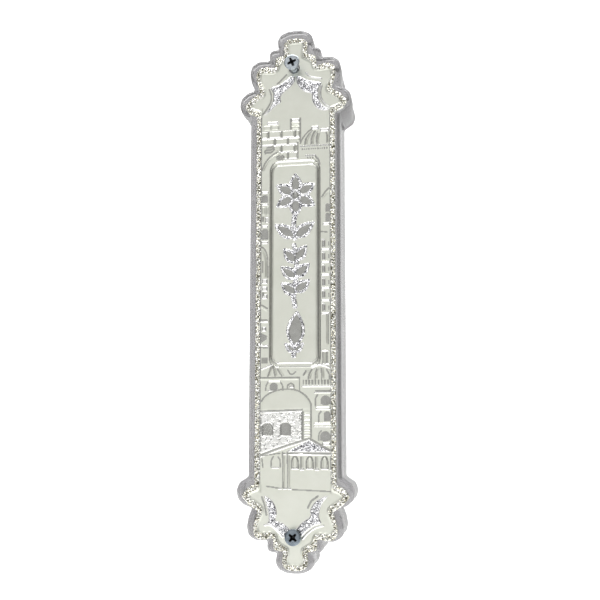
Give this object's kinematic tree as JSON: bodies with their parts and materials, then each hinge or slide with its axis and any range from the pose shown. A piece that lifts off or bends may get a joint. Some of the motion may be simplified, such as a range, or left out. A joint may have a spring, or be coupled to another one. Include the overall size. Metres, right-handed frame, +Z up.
{
  "type": "mezuzah case",
  "caption": "Upright scroll case with a lobed clear moulded body, an embossed silver-plated front plaque, a rolled scroll inside a rear channel and two countersunk screws.",
  "frame": {"origin": "middle of the back mounting plane, on the back of the closed rear cover", "axes": "+Z up along the case and the scroll, +Y out of the back towards the doorpost, the plaque faces -Y"},
  "size_m": [0.0318, 0.0276, 0.15],
  "materials": {
    "clear_plastic": "clear to lightly frosted moulded plastic, grey at the edges",
    "cover_plastic": "frosted moulded plastic",
    "silver_plate": "silver-plated embossed sheet with a satin field and a glittering border",
    "adhesive": "thin double-sided adhesive sheet",
    "parchment": "rolled parchment, plain",
    "clear_film": "clear wrapping film",
    "zinc_plate": "bright zinc-plated steel"
  },
  "bodies": {
    "case": {"case_body": "clear_plastic", "plaque_adhesive": "adhesive", "front_plaque": "silver_plate"},
    "cover": {"rear_cover": "cover_plastic"},
    "scroll": {"scroll_parchment": "parchment", "scroll_sleeve": "clear_film"},
    "screw_upper": {"upper_screw": "zinc_plate"},
    "screw_lower": {"lower_screw": "zinc_plate"}
  },
  "joints": [
    {"name": "cover_release", "type": "slide", "parent": "case", "child": "cover", "axis": [0, 1, 0], "range_m": [0, 0.036]},
    {"name": "scroll_release", "type": "slide", "parent": "case", "child": "scroll", "axis": [0, 1, 0], "range_m": [0, 0.018]},
    {"name": "upper_screw_travel", "type": "slide", "parent": "case", "child": "screw_upper", "axis": [0, 1, 0], "range_m": [-0.0225, 0.0033]},
    {"name": "lower_screw_travel", "type": "slide", "parent": "case", "child": "screw_lower", "axis": [0, 1, 0], "range_m": [-0.025, 0.0008]}
  ],
  "couplings": [
    {"joint": "scroll_release", "follows": "cover_release", "ratio": 0.5}
  ]
}
